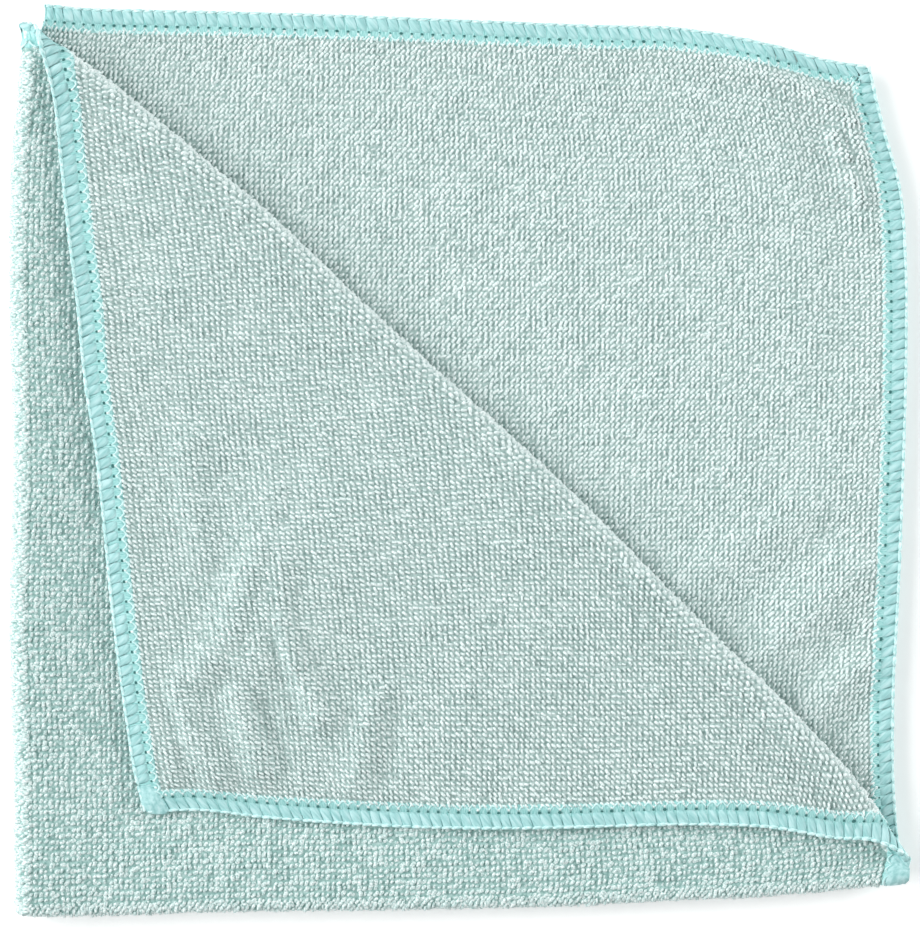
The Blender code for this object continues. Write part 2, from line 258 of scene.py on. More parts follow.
def settle(x, y, u, v):
    """Moves the points of the even folded square to the uneven outline.

    Each edge's offset counts in full at that edge. It fades inwards by the square of the
    distance, or evenly from the bottom fold.
    """
    across, up = np.clip(x / HALF, 0, 1), np.clip(y / HALF, 0, 1)
    hidden = (u < 0) * smooth(x / HIDDEN_STARTS)
    outer = (v > 0) * (1 - hidden)
    right = outer * curve(RIGHT_EDGE_OUTER, y) + (1 - outer) * curve(RIGHT_EDGE_INNER, y)
    right = right - HIDDEN_INSET * hidden
    top = outer * curve(TOP_EDGE_OUTER, x) + (1 - outer) * curve(TOP_EDGE_INNER, x)
    top = top - HIDDEN_INSET * hidden
    inset = INNER_FOLD_INSET * (v < 0) * np.exp(-x / INNER_FOLD_REACH)
    inset = inset * smooth(y / INNER_FOLD_STARTS)
    return (
        x + right * across**2 + curve(LEFT_FOLD, y) * (1 - across) ** 2 + inset,
        y + top * up**2 + curve(BOTTOM_FOLD, x) * (1 - up),
    )


def turn_back(x, y, z, w, depth):
    """Carries what lies past the crease up round it, and back down onto layer 1.

    It goes round a sagging half oval, drops by the lip, and settles to the flap's pitch.
    """
    along, past, line = along_crease(x, y)
    turn = np.clip(past / CREASE_R, 0, math.pi)
    back = np.maximum(past - CREASE_TURN, 0)
    side = line + (CREASE_R - w) * np.sin(turn) - back
    new_x = CREASE_START.x + along * CHORD.x + side * CHORD_SIDE.x
    new_y = CREASE_START.y + along * CHORD.y + side * CHORD_SIDE.y
    settled = smooth(back / CREASE_SETTLES)
    risen = ((1 - np.cos(turn)) / 2) ** CREASE_SAG
    high = curve(CREASE_HIGH, along)
    lip = curve(CREASE_LIP, along)
    rise = high * risen + w * np.cos(turn) - lip * smooth(back / CREASE_LIP_WIDE)
    rise = rise - (high - lip - FLAP_PITCH) * settled
    sunk = RIM_SINKS * (1 - np.clip(depth / RIM_SINKS_WIDE, 0, 1)) ** 2
    creases = settled * (relief("flap", new_x, new_y) - sunk)
    new_z = (LAYER_1_UP + rise) * loft(new_x, new_y) + creases
    return [np.where(past > 0, new, old) for new, old in zip((new_x, new_y, new_z), (x, y, z))]


def lay_up(u, v, w):
    """Where flat points lie before the corner is turned back, in millimetres.

    The sheet bends half a circle round the bottom fold, then the doubled sheet half a circle
    round the left fold. settle() gives its outline, and loft() and relief() its heights.
    """
    turn = np.clip(v / BOTTOM_R, -math.pi / 2, math.pi / 2)
    y = BOTTOM_R + CLOTH_THICK / 2 - (BOTTOM_R + w) * np.cos(turn)
    y = y + np.maximum(np.abs(v) - BOTTOM_R * math.pi / 2, 0)
    doubled = (BOTTOM_R + w) * np.sin(turn)
    turn = np.clip(u / LEFT_R, -math.pi / 2, math.pi / 2)
    x = STACK_HALF - (LEFT_R + doubled) * np.cos(turn)
    x = x + np.maximum(np.abs(u) - LEFT_R * math.pi / 2, 0)
    x, y = settle(x, y, u, v)
    z = (STACK_HALF + (LEFT_R + doubled) * np.sin(turn)) * loft(x, y)
    return x, y, z + (u > 0) * (v < 0) * relief("layer 2", x, y)


def fold(u, v, w):
    """Where flat points lie in the folded cloth, in metres: laid up, then turned back."""
    laid = lay_up(u, v, w)
    first = (u > 0) & (v > 0)
    turned = turn_back(*laid, w, HALF - np.maximum(u, v))
    x, y, z = [np.where(first, new, old) for new, old in zip(turned, laid)]
    return np.stack([x - MIDDLE[0], y - MIDDLE[1], z], axis=-1) * MM


def grid_faces(rows, columns):
    """Triangles over a grid of points, two to each square, split along the crease's way."""
    index = np.arange(rows * columns).reshape(rows, columns)
    a, b = index[:-1, :-1].ravel(), index[1:, :-1].ravel()
    c, d = index[1:, 1:].ravel(), index[:-1, 1:].ravel()
    return np.concatenate([np.stack([a, b, d], 1), np.stack([b, c, d], 1)])


def many(faces, points_each, count):
    """The same triangles for each of many like shapes, whose points follow one another."""
    starts = np.arange(count)[:, None, None] * points_each
    return (faces[None] + starts).reshape(-1, 3)


def make_piece(name, points, faces, uv, materials, slots=None):
    """A mesh object from arrays: points in metres, triangles, each point's uv, each face's slot."""
    mesh = bpy.data.meshes.new(name)
    mesh.vertices.add(len(points))
    mesh.vertices.foreach_set("co", np.ascontiguousarray(points, dtype=np.float32).ravel())
    mesh.loops.add(faces.size)
    mesh.loops.foreach_set("vertex_index", np.ascontiguousarray(faces, dtype=np.int32).ravel())
    mesh.polygons.add(len(faces))
    mesh.polygons.foreach_set("loop_start", np.arange(0, faces.size, 3, dtype=np.int32))
    layer = mesh.uv_layers.new(name="flat")
    corners = np.ascontiguousarray(uv[faces.ravel()], dtype=np.float32)
    layer.uv.foreach_set("vector", corners.ravel())
    for material in materials:
        mesh.materials.append(material)
    if slots is not None:
        slots = np.ascontiguousarray(slots, dtype=np.int32)
        mesh.polygons.foreach_set("material_index", slots)
    mesh.update(calc_edges=True)
    mesh.shade_smooth()
    piece = bpy.data.objects.new(name, mesh)
    bpy.context.scene.collection.objects.link(piece)
    return piece


def linear(hex_colour):
    """A screen colour, as six hex digits, turned to the linear values that a shader takes."""
    parts = [int(hex_colour[i : i + 2], 16) / 255 for i in (0, 2, 4)]
    values = [p / 12.92 if p <= 0.04045 else ((p + 0.055) / 1.055) ** 2.4 for p in parts]
    return (*values, 1.0)


def new_material(name, roughness):
    """A matt material, with little gloss: itself, its tree to add to, and its Principled shader."""
    material = bpy.data.materials.new(name)
    material.use_nodes = True
    shader = material.node_tree.nodes["Principled BSDF"]
    shader.inputs["Roughness"].default_value = roughness
    shader.inputs["Specular IOR Level"].default_value = 0.2
    return material, material.node_tree, shader


def node(tree, kind, links=None, values=None, **settings):
    """Adds one node: its settings, the values of its inputs, and the sockets linked into them."""
    new = tree.nodes.new(kind)
    for key, value in settings.items():
        setattr(new, key, value)
    for key, value in (values or {}).items():
        new.inputs[key].default_value = value
    for key, socket in (links or {}).items():
        tree.links.new(socket, new.inputs[key])
    return new


def ramp(tree, factor, stops):
    """A colour ramp through (place, hex colour) stops."""
    new = node(tree, "ShaderNodeValToRGB", {"Fac": factor})
    elements = new.color_ramp.elements
    for element, (place, colour) in zip(elements, (stops[0], stops[-1])):
        element.position, element.color = place, linear(colour)
    for place, colour in stops[1:-1]:
        elements.new(place).color = linear(colour)
    return new.outputs["Color"]


def flat_uv(tree, across, along):
    """The cloth's flat place at each point, in metres, times a number each way."""
    uv = node(tree, "ShaderNodeUVMap", uv_map="flat").outputs["UV"]
    scale = {1: (across, along, 0.0)}
    return node(tree, "ShaderNodeVectorMath", {0: uv}, scale, operation="MULTIPLY").outputs[0]


def raise_by(tree, shader, height, strength, distance_mm):
    """Raises a shader's surface where a height is more, by a bump of so many millimetres."""
    values = {"Strength": strength, "Distance": distance_mm * MM}
    bump = node(tree, "ShaderNodeBump", {"Height": height}, values)
    tree.links.new(bump.outputs[0], shader.inputs["Normal"])


# One stitch is a wale wide and a course high: 21 wales to the inch.
WALE, COURSE = 1.19, 1.29


def painted_knit(name, scatter, stops, raised_mm):
    """Knit without loops of its own: one soft round crown of yarn to each stitch, and its fibre,
    with painted highlight on the crowns and painted shade between them.
    """
    material, tree, shader = new_material(name, 0.85)
    stitch_uv = flat_uv(tree, 1 / (WALE * MM), 1 / (COURSE * MM))
    cell = node(
        tree, "ShaderNodeTexVoronoi", {"Vector": stitch_uv}, {"Scale": 1.0, "Randomness": scatter},
        voronoi_dimensions="2D",
    )
    fibre = node(
        tree, "ShaderNodeTexNoise", {"Vector": stitch_uv}, {"Scale": 2.6, "Detail": 3.0},
        noise_dimensions="2D",
    ).outputs["Fac"]
    # The crown's tone is painted light: lighter at each stitch's middle, darker towards its edge.
    crown = node(
        tree, "ShaderNodeMapRange", {"Value": cell.outputs["Distance"]},
        {"From Min": 0.75, "From Max": 0.1, "To Min": -0.3, "To Max": 0.7},
        interpolation_type="SMOOTHSTEP",
    ).outputs[0]
    tone = node(tree, "ShaderNodeMath", {0: crown, 1: fibre}, operation="ADD").outputs[0]
    tree.links.new(ramp(tree, tone, stops), shader.inputs["Base Color"])
    raise_by(tree, shader, tone, 0.8, raised_mm)
    shader.inputs["Sheen Weight"].default_value = 0.1
    return material


def ground_knit(name, stops):
    """The ground that shows between stitches: the same yarn in shade, darkest in the pits."""
    material, tree, shader = new_material(name, 0.95)
    pits = node(
        tree, "ShaderNodeTexNoise",
        {"Vector": flat_uv(tree, 1 / (WALE * MM), 1 / (COURSE * MM))},
        {"Scale": 1.6, "Detail": 3.0}, noise_dimensions="2D",
    ).outputs["Fac"]
    tree.links.new(ramp(tree, pits, stops), shader.inputs["Base Color"])
    return material


# Pale sea-green knit, matt and soft, for the underside and what the layers hide: its crowns are
# nearly white, a painted highlight, and the pits between them greener, a painted shade.
KNIT_STOPS = ((0.0, "93b3af"), (0.45, "bcd5d2"), (1.0, "eefaf8"))
painted_loops = painted_knit("microfibre terry, warp knitted", 0.8, KNIT_STOPS, 0.4)
painted_plain = painted_knit("microfibre ground face, warp knitted", 0.5, KNIT_STOPS, 0.3)
# Painted shade: a dim grey green between the stitches, so that each stands out.
shaded_ground = ground_knit(
    "microfibre ground between stitches, in painted shade", ((0.3, "87a19e"), (0.55, "a9bfbc"), (0.8, "cad9d7"))
)
# Painted shade: a deeper green between the loops, so that the pile looks thick.
shaded_terry = ground_knit(
    "microfibre ground between loops, in painted shade", ((0.3, "789c98"), (0.55, "9bbcb8"), (0.8, "bcd5d2"))
)

# How far the sheet's two faces lie from its middle, where stitches or loops stand on them.
UNDER_STITCHES = 0.62
UNDER_LOOPS = 0.5
# The overlock presses the sheet thin: half its thickness there, how deep the sewing goes in
# from the rim, and over what width the sheet swells again.
SEWN_HALF_THICK = 0.45
SEWN_DEPTH = 4.2
SWELLS_WIDE = 1.6

# The turned-back corner's two rims, seen from above.
# Columns of the left one: up, across. Columns of the bottom one: across, up.
FLAP_LEFT = ((25, 31), (190, 10))
FLAP_BOTTOM = ((31, 25), (60, 24), (120, 21.5), (160, 20), (185, 16), (200, 12))
# Loops are made this far in under those rims, and stop this far before the crease.
LOOPS_UNDER_RIM = 7.0
LOOPS_OFF_CREASE = 1.0
# They also go round the folds: this far to each side of the left fold's line and down past the
# bottom fold's, and this far to each side of the bottom fold's.
LEFT_TURN, LEFT_TURN_PAST = 7.0, 2.0
BOTTOM_TURN = 4.5
# Stitches start this far round the roll on the turned-back corner, and this far under the roll
# on layer 2.
STITCHES_ON_ROLL = 0.55 * CREASE_R
STITCHES_UNDER_ROLL = 2.5


def past_crease(u, v):
    """How far flat points of layer 1 lie past the crease's start."""
    x, y, _ = lay_up(u, v, u * 0)
    return along_crease(x, y)[1]


def beyond_roll(u, v):
    """How far points of layer 2 lie outside the roll of the crease, seen from above."""
    x, y, _ = lay_up(u, v, u * 0)
    return outside_crease(x, y)[1]


def under_flap(u, v):
    """How far points of layer 1 lie inside the turned-back corner's two rims, seen from above."""
    x, y, _ = lay_up(u, v, u * 0)
    left = np.interp(y, *zip(*FLAP_LEFT))
    bottom = np.interp(x, *zip(*FLAP_BOTTOM))
    return np.minimum(x - left, y - bottom)


def half_thickness(u, v):
    """Half the sheet's thickness: thin at the sewn rim, and full past it by a soft step."""
    depth = HALF - np.maximum(np.abs(u), np.abs(v))
    swell = smooth((depth - SEWN_DEPTH) / SWELLS_WIDE)
    return SEWN_HALF_THICK + (CLOTH_THICK / 2 - SEWN_HALF_THICK) * swell


def shows_loops(u, v):
    """True where the looped face shows: beside the turned-back corner, and round both folds."""
    first = (u > 0) & (v > 0)
    strip = first & (past_crease(u, v) < -LOOPS_OFF_CREASE) & (under_flap(u, v) < LOOPS_UNDER_RIM)
    turns = ((np.abs(u) < LEFT_TURN) & (v > -LEFT_TURN_PAST)) | (np.abs(v) < BOTTOM_TURN)
    return strip | (turns & (past_crease(np.abs(u), np.abs(v)) < -LOOPS_OFF_CREASE))


def shows_stitches(u, v):
    """True where the plain face shows: layer 2 beyond the crease, and the turned-back corner."""
    flap = (u > 0) & (v > 0) & (past_crease(u, v) > STITCHES_ON_ROLL)
    second = (u > 0) & (v < 0) & (beyond_roll(u, v) > -STITCHES_UNDER_ROLL)
    return flap | second


# The grid's rows: how wide the band beside each fold is where they are closest, their spacing
# there, how many follow where the cloth shows and where it is hidden, and how far in from the
# band's rim the cloth's raw rim lies.
FOLD_BAND, FOLD_SPACING = 6.0, 0.5
SHOWN_ROWS, HIDDEN_ROWS = 121, 16
RAW_RIM = 0.3


def rows_across(both_shown):
    """Places of the rows of points across the flat cloth: its hidden half's may be wide apart."""
    end = HALF - RAW_RIM
    fold_rows = np.arange(0, FOLD_BAND + 0.001, FOLD_SPACING)
    shown = np.linspace(FOLD_BAND, end, SHOWN_ROWS + 1)[1:]
    hidden = shown if both_shown else np.linspace(FOLD_BAND, end, HIDDEN_ROWS + 1)[1:]
    return np.concatenate([-hidden[::-1], -fold_rows[:0:-1], fold_rows, shown])


def cloth_piece():
    """The sheet as one closed surface.

    It is a grid on each face, at plus and minus w, and a wall round the rim.
    """
    us, vs = rows_across(False), rows_across(True)
    u, v = (c.ravel() for c in np.meshgrid(us, vs, indexing="ij"))
    near_rim = half_thickness(u, v)
    looped_w = np.minimum(near_rim, np.where(shows_loops(u, v), UNDER_LOOPS, CLOTH_THICK / 2))
    plain_w = np.minimum(near_rim, np.where(shows_stitches(u, v), UNDER_STITCHES, CLOTH_THICK / 2))
    points = np.concatenate([fold(u, v, looped_w), fold(u, v, -plain_w)])
    half = len(u)
    looped = grid_faces(len(us), len(vs))
    index = np.arange(half).reshape(len(us), len(vs))
    rim = np.concatenate([index[:, 0], index[-1, 1:], index[-2::-1, -1], index[0, -2:0:-1]])
    after = np.roll(rim, -1)
    wall = [np.stack([rim, rim + half, after], 1), np.stack([after, rim + half, after + half], 1)]
    wall = np.concatenate(wall)
    faces = np.concatenate([looped, looped[:, ::-1] + half, wall])
    finishes = [painted_loops, painted_plain, shaded_ground, shaded_terry]
    hidden_looped, hidden_plain, under_stitches, under_loops = range(4)
    middle_u, middle_v = u[looped].mean(axis=1), v[looped].mean(axis=1)
    slots = np.concatenate([
        np.where(shows_loops(middle_u, middle_v), under_loops, hidden_looped),
        np.where(shows_stitches(middle_u, middle_v), under_stitches, hidden_plain),
        np.full(len(wall), under_stitches),
    ])
    uv = np.tile(np.stack([u, v], 1) * MM, (2, 1))
    return make_piece("knit_cloth", points, faces, uv, finishes, slots)


knit_cloth = cloth_piece()
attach(knit_cloth, "root")
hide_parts("cloth")

# ---------------------------------------------------------------------------------------------
# The stitches of the plain face: microfibre yarn, split soft, one leaning S-shaped hump to a
# stitch. They are made where the plain face shows, on layer 2 and on the turned-back corner.

# Every random draw but patchy()'s comes from here, in the order of the pieces.
RNG = np.random.default_rng(20)
# Real split fibres are too fine to show, so the yarn's tone changes every 0.4 mm or so. Its
# lightest tones also stand in for glints, as painted highlight.
TONES_PER_MM = 2.4


def yarn_material(name, stops, raised_mm):
    """Split microfibre yarn: matt, with a soft sheen from its fibres and a tone that changes."""
    material, tree, shader = new_material(name, 0.6)
    fibre = node(
        tree, "ShaderNodeTexNoise", {"Vector": flat_uv(tree, 1 / MM, 1 / MM)},
        {"Scale": TONES_PER_MM, "Detail": 3.0, "Roughness": 0.6}, noise_dimensions="2D",
    ).outputs["Fac"]
    tree.links.new(ramp(tree, fibre, stops), shader.inputs["Base Color"])
    raise_by(tree, shader, fibre, 0.6, raised_mm)
    shader.inputs["Sheen Weight"].default_value = 0.15
    shader.inputs["Sheen Roughness"].default_value = 0.4
    return material


# Nearly white tones, a painted highlight for glints, at random on a pale, downy grey green.
stitch_yarn = yarn_material(
    "split microfibre yarn, knitted flat", ((0.3, "c1d3d1"), (0.5, "e2f0ef"), (0.66, "f4fcfb")),
    0.14,
)


def uneven(spread, shape, low, high):
    """Random sizes about 1, normally spread and kept between low and high."""
    return np.clip(RNG.normal(1, spread, shape), low, high)


def stitch_grid(low_u, high_u, low_v, high_v, scatter):
    """Places of stitches over part of the flat cloth.

    They are a wale by a course apart, each out of place by a normal spread of scatter.
    """
    us = np.arange(low_u, high_u, WALE)
    vs = np.arange(low_v, high_v, COURSE)
    u, v = (c.ravel() for c in np.meshgrid(us, vs, indexing="ij"))
    return u + RNG.normal(0, scatter, len(u)), v + RNG.normal(0, scatter, len(v))


def patchy(u, v):
    """A slow random unevenness over the cloth, about 1: the sum of six waves 8 to 30 mm long."""
    waves = np.random.default_rng(3)
    total = u * 0
    for long in (8, 11, 14, 18, 23, 30):
        way, start = waves.uniform(0, 2 * np.pi, 2)
        total = total + np.sin((u * np.cos(way) + v * np.sin(way)) * 2 * np.pi / long + start)
    return 1 + 0.06 * total


# How far the ends of each hump of yarn sink in the ground.
HUMP_SINKS = 0.12


def humps(u, v, face, ground, reach, lean, wide, high, hook, varies):
    """Points, triangles and uv of one soft hump of yarn at each place.

    Its middle line runs from -1 to 1: reach along the course way, and lean across it by a sine,
    so it is an S. It is a half oval across, four points wide, and both ends sink in the ground.
    varies is how much each hump's turn, size and height differ. face is 1 or -1, as w is.
    """
    count = len(u)
    t = np.array([-1.0, -0.42, 0.42, 1.0])[None, :, None]
    across = np.array([-1.0, -0.55, 0.55, 1.0])[None, None, :]
    crown = np.array([0.0, 1.0, 1.0, 0.0])[None, None, :]
    size = uneven(0.5 * varies, (count, 1, 1), 0.7, 1.3)
    tall = uneven(varies, (count, 1, 1), 0.45, 1.5) * patchy(u, v)[:, None, None]
    turn = RNG.normal(0, varies, (count, 1, 1))
    taper = np.sqrt(np.clip(1 - 0.75 * t**2, 0, 1))
    side = lean * np.sin(hook * t) / np.sin(hook) * size + across * wide * taper * size
    ahead = reach * t * size
    du = side * np.cos(turn) - ahead * np.sin(turn)
    dv = side * np.sin(turn) + ahead * np.cos(turn)
    arched = crown * np.sqrt(np.clip(1 - 0.97 * t**2, 0, 1))
    dw = ground - HUMP_SINKS + (HUMP_SINKS + high * tall) * arched
    flat_u = (u[:, None, None] + du).ravel()
    flat_v = (v[:, None, None] + face * dv).ravel()
    points = fold(flat_u, flat_v, face * np.broadcast_to(dw, du.shape).ravel())
    faces = many(grid_faces(t.size, across.size), t.size * across.size, count)
    return points, faces, np.stack([flat_u, flat_v], 1) * MM


# Stitches run from this far off each fold's line to the overlocking's inner rim.
OFF_FOLD, TO_BAND = 1.0, 195.0
# The stitches of layer 2 are two pieces, to each side of this line.
LAYER_2_PARTS = 130.0


def stitches_piece(name, low_v, high_v, low_u=0.0, high_u=HALF, reach=0.65):
    """The stitches of one part of the plain face: a hump at each place of the grid that shows."""
    u, v = stitch_grid(OFF_FOLD, TO_BAND, low_v, high_v, scatter=0.08)
    keep = shows_stitches(u, v) & (u >= low_u) & (u < high_u)
    points, faces, uv = humps(
        u[keep], v[keep], -1, UNDER_STITCHES, reach, lean=0.27, wide=0.42, high=0.54, hook=1.9,
        varies=0.25,
    )
    piece = make_piece(name, points, faces, uv, [stitch_yarn])
    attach(piece, "root")
    return piece


stitches = [
    stitches_piece("stitches_layer_2_right", -TO_BAND, -OFF_FOLD, low_u=LAYER_2_PARTS),
    stitches_piece("stitches_layer_2_left", -TO_BAND, -OFF_FOLD, high_u=LAYER_2_PARTS),
    stitches_piece("stitches_turned_back", OFF_FOLD, TO_BAND, reach=0.56),
]

# ---------------------------------------------------------------------------------------------
# The terry loops of the looped face: the same yarn, standing up and curled every way. They are
# made where the looped face shows, beside the turned-back corner and round both folds.

# Near-white and sea-green tones at random: painted highlight for lit loop tips and painted shade
# for their sides, which make the pile look deep and rough.
loop_yarn = yarn_material(
    "split microfibre yarn, in loops", ((0.32, "9fbfbc"), (0.5, "d0e4e2"), (0.64, "f3fbfa")), 0.30
)

# Parts of the flat cloth with loops: all of it that shows, then more rows between the first where
# the bottom fold and the left fold spread them apart. Columns: from u, to u, from v, to v.
LOOP_PARTS = (
    (-194.0, 194.0, -4.0, 196.0),
    (-193.4, 194.0, -0.77, 2.0),
    (-3.0, 3.0, 1.8, 194.0),
)
LOOPS_END = 194.0


def loops_piece():
    """A curled hump for each loop that shows."""
    grids = [stitch_grid(*part, scatter=0.12) for part in LOOP_PARTS]
    u, v = (np.concatenate(places) for places in zip(*grids))
    keep = shows_loops(u, v) & (np.abs(u) < LOOPS_END) & (v < LOOPS_END)
    points, faces, uv = humps(
        u[keep], v[keep], 1, UNDER_LOOPS, 0.58, lean=0.17, wide=0.54, high=0.46, hook=1.9,
        varies=0.40,
    )
    piece = make_piece("terry_loops", points, faces, uv, [loop_yarn])
    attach(piece, "root")
    return piece


terry_loops = loops_piece()

# ---------------------------------------------------------------------------------------------
# The overlocking: textured nylon thread in a deeper aqua, sewn over the raw edge all round, a
# stitch every 2.5 mm. A flat band of looper threads covers the edge, a puffed bundle wraps the
# rim at each stitch, and a bead of chain lies on the rim.

STITCH = 2.5
# How far in from the rim the needle goes and the band reaches, and how far each bundle leans
# along the edge on its way over the rim.
NEEDLE_DEPTH = 3.5
BAND_DEPTH = 5.1
LEAN = 1.0


def flat_place(side, along, depth):
    """Flat place of a point by one side of the cloth, from its place along and depth in."""
    out = HALF - depth
    u = np.select([side == 0, side == 1, side == 2], [along, out, -along], -out)
    v = np.select([side == 0, side == 1, side == 2], [out, -along, -out], along)
    return u, v


def by_side(side, along, depth, w):
    """Folded place of a point by one side of the flat cloth."""
    return fold(*flat_place(side, along, depth), w)


def thread_material(name, stops, roughness):
    """Textured nylon sewing thread: soft, slightly shiny, and streaked along by its filaments."""
    material, tree, shader = new_material(name, roughness)
    # Real filaments are too fine to show, so a streak takes a fifth of the way round a bundle,
    # or 0.2 mm on the band, and is 1.1 mm long.
    streaks = node(
        tree, "ShaderNodeTexNoise", {"Vector": flat_uv(tree, 5.0 / MM, 0.9 / MM)},
        {"Scale": 1.0, "Detail": 2.0}, noise_dimensions="2D",
    ).outputs["Fac"]
    tree.links.new(ramp(tree, streaks, stops), shader.inputs["Base Color"])
    raise_by(tree, shader, streaks, 0.3, 0.12)
    shader.inputs["Sheen Weight"].default_value = 0.1
    return material


# Soft aqua, smooth, with a low shine along each bundle.
bundle_thread = thread_material(
    "textured nylon looper thread", ((0.3, "92c5c5"), (0.5, "a6d5d5"), (0.7, "bce2e3")), 0.55
)
# The same thread a little deeper, as painted shade between the bundles, which parts them.
lower_thread = thread_material(
    "textured nylon looper thread, between bundles",
    ((0.3, "7dbcba"), (0.5, "9ad1cf"), (0.7, "b8e4e3")), 0.6,
)
# A finer, tighter thread, which glints nearly white.
needle_thread = thread_material(
    "spun needle thread", ((0.3, "a9dad9"), (0.5, "c8eeed"), (0.7, "e8fcfc")), 0.5
)

# The band's section, from its inner rim on the plain face round to that on the looped face.
# Columns: depth in from the rim, height through the cloth.
BAND_SECTION = np.array([
    (BAND_DEPTH + 0.15, -0.50), (BAND_DEPTH - 0.15, -0.86), (3.9, -0.84), (3.2, -0.60),
    (0.4, -0.45), (0.1, 0.0), (0.4, 0.45),
    (3.2, 0.60), (3.9, 0.80), (BAND_DEPTH - 0.15, 0.80), (BAND_DEPTH + 0.15, 0.50),
])
# How far its inner rims wave in and out with the stitches, and how far apart its texture takes
# the points of its section to be.
SCALLOP = 0.25
SECTION_STEP = 0.6


def band_piece():
    """The flat band of threads: its section carried round all four sides.

    Its inner rims are scalloped by a cosine, one wave to a stitch, and its ends are mitred.
    """
    along = np.arange(-HALF, HALF + 0.01, STITCH / 4)
    points, uv = [], []
    for side in range(4):
        s, k = (c.ravel() for c in np.meshgrid(along, np.arange(len(BAND_SECTION)), indexing="ij"))
        depth, w = BAND_SECTION[k, 0], BAND_SECTION[k, 1]
        inner = depth > BAND_DEPTH - 0.3
        depth = depth + inner * SCALLOP * np.cos(2 * np.pi * s / STITCH)
        s = np.clip(s, -HALF + depth, HALF - depth)
        points.append(by_side(np.full(len(s), side), s, depth, w))
        uv.append(np.stack([s, k * SECTION_STEP], 1) * MM)
    grid = grid_faces(len(along), len(BAND_SECTION))
    faces = many(grid, len(along) * len(BAND_SECTION), 4)
    points, uv = np.concatenate(points), np.concatenate(uv)
    return make_piece("overlock_band", points, faces, uv, [lower_thread])


def tube_faces(rings, around):
    """Triangles of one closed tube: each ring joined to the next, and a fan over each end."""
    index = np.arange(rings * around).reshape(rings, around)
    a, b = index[:-1].ravel(), index[1:].ravel()
    c, d = np.roll(index[1:], -1, axis=1).ravel(), np.roll(index[:-1], -1, axis=1).ravel()
    fan = np.stack([np.zeros(around - 2, int), np.arange(1, around - 1), np.arange(2, around)], 1)
    sides = [np.stack([a, b, d], 1), np.stack([b, c, d], 1)]
    return np.concatenate([*sides, fan, fan[:, ::-1] + (rings - 1) * around])


# Each stitch's side of the cloth, its place along that side, and whether the inner part of its
# overlocking shows, as on layers 1 and 2 alone. EACH is the shape of one number to a stitch.
PER_SIDE = int(2 * HALF / STITCH)
EACH = (4 * PER_SIDE, 1, 1)
STITCH_SIDE = np.repeat(np.arange(4), PER_SIDE)
STITCH_ALONG = np.tile((np.arange(PER_SIDE) + 0.5) * STITCH - HALF, 4)
STITCH_ALONG = STITCH_ALONG + RNG.normal(0, 0.08, 4 * PER_SIDE)
STITCH_SHOWS = np.select(
    [STITCH_SIDE == 0, STITCH_SIDE == 1, STITCH_SIDE == 2],
    [STITCH_ALONG > 0, True, STITCH_ALONG < 0], False,
).astype(bool)


def tubes_piece(name, material, side, s, depth, w):
    """Many like tubes by the cloth's sides, from the place of each point of their rings.

    The arrays' axes are tube, ring and point round the ring: s is the place along the side,
    depth in from the rim, and w through the cloth. At a corner s stops four fifths of the depth
    short of the end, near the mitre.
    """
    shape = np.broadcast_shapes(s.shape, depth.shape, w.shape)
    s, depth, w = (np.broadcast_to(c, shape) for c in (s, depth, w))
    sides = np.broadcast_to(side[:, None, None], shape)
    reach = HALF - np.clip(depth, -0.3, 4.0) * 0.8
    points = by_side(sides.ravel(), np.clip(s, -reach, reach).ravel(), depth.ravel(), w.ravel())
    tubes, rings, around = shape
    round_ring = np.broadcast_to(np.arange(around) / around, shape)
    uv = np.stack([round_ring.ravel(), (s + depth).ravel()], 1) * MM
    faces = many(tube_faces(rings, around), rings * around, tubes)
    return make_piece(name, points, faces, uv, [material])


# Each bundle's half width, and how high it puffs up. It bends round a point RIM_IN from the rim,
# by RIM_OUT outwards and by RIM_UP upwards, and stops HOLE_GAP short of the needle's depth.
BUNDLE_HALF_WIDE, BUNDLE_PUFF = 1.31, 0.25
RIM_IN, RIM_OUT, RIM_UP = 0.15, 0.25, 0.50
HOLE_GAP = 0.35


def bundles_piece():
    """A puffed bundle of thread for each stitch.

    Its middle runs from the needle hole on one face, out round the rim in half an oval, and back
    to the other face's hole, leaning along the edge by LEAN. Its section is an oval as wide as a
    stitch and flat on the cloth, and it narrows to its ends by a cubic under a root.
    """
    t = np.linspace(-1, 1, 11)[None, :, None]
    aside = np.array([1, 0.74, -0.74, -1, -0.5, 0.5])[None, None, :]
    above = np.array([0, 1, 1, 0, -0.3, -0.3])[None, None, :]
    round_rim = 0.25
    straight = np.clip((np.abs(t) - round_rim) / (1 - round_rim), 0, 1)
    turn = np.clip(t / round_rim, -1, 1) * np.pi / 2
    varied = uneven(0.07, EACH, 0.8, 1.2)
    narrowed = 1 - 0.5 * straight**3 - 0.14 * (1 - straight) ** 2
    wide = BUNDLE_HALF_WIDE * np.sqrt(np.clip(narrowed, 0, 1))
    puff = BUNDLE_PUFF * np.sqrt(np.clip(1 - 0.9 * straight**3, 0.05, 1))
    swell = puff * above * varied
    lean = LEAN + RNG.normal(0, 0.12, EACH)
    s = STITCH_ALONG[:, None, None] + lean * (1 - straight) + wide * aside * varied
    depth = RIM_IN + (NEEDLE_DEPTH - HOLE_GAP) * straight - (RIM_OUT + swell) * np.cos(turn)
    w = (RIM_UP + swell) * np.sin(turn)
    return tubes_piece("overlock_bundles", bundle_thread, STITCH_SIDE, s, depth, w)


# Half the thickness and half the length of each bead of the chain on the rim.
BEAD_HALF_THICK, BEAD_HALF_LONG = 0.46, 1.5


